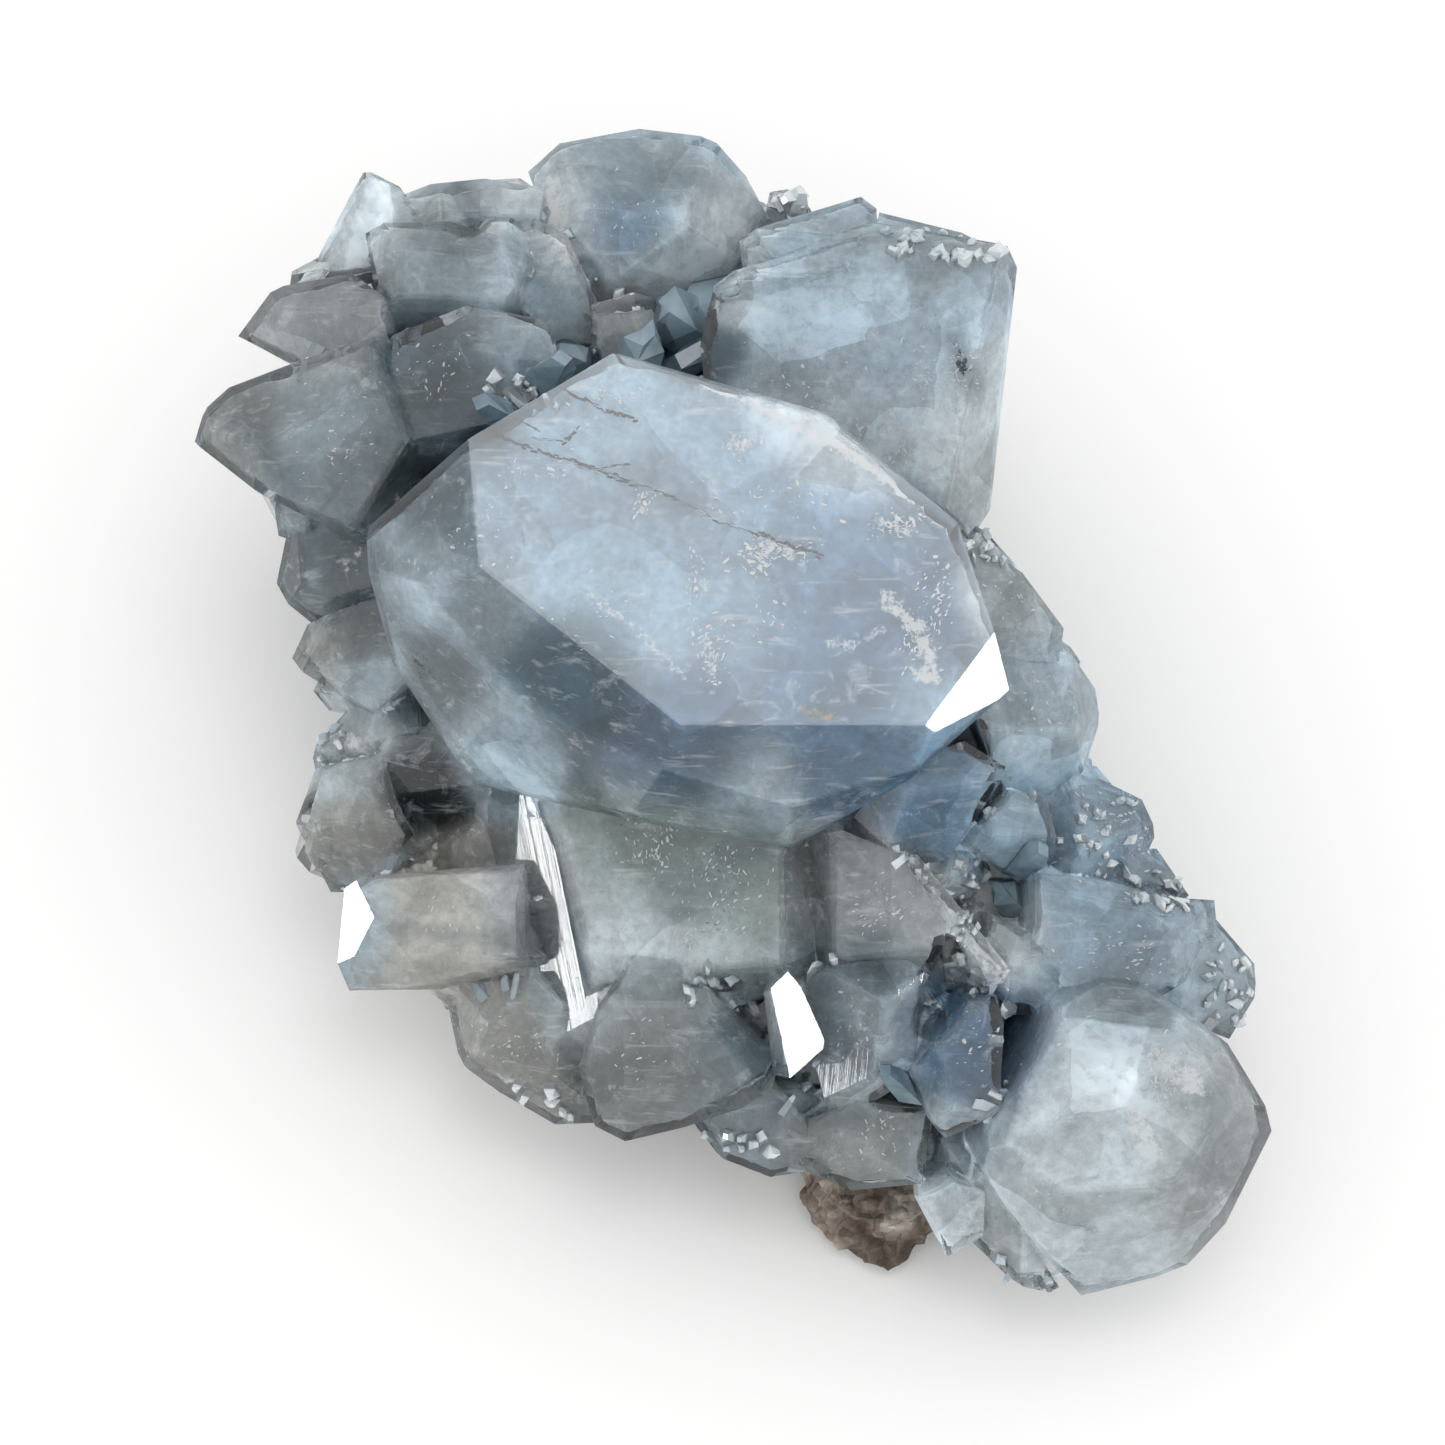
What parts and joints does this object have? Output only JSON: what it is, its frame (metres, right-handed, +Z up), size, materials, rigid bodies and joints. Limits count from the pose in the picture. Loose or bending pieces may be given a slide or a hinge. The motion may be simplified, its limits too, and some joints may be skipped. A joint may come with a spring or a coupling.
{
  "type": "celestite crystal cluster",
  "caption": "Pale blue celestite crystals grown together on a thin piece of limestone matrix, lying with the crystal face up on the matrix's broken flat underside",
  "frame": {"origin": "middle of the bounding box, on the surface that the cluster lies on", "axes": "+Z up from the resting surface, +Y from the milky crystal's end to the crown's end, the longest way, +X to the right when the crystal face is looked at"},
  "size_m": [0.0764, 0.0834, 0.0471],
  "materials": {
    "celestite": "polished",
    "limestone": "rough"
  },
  "bodies": {
    "root": {"celestite_crystals": "celestite", "matrix": "limestone"}
  },
  "joints": []
}
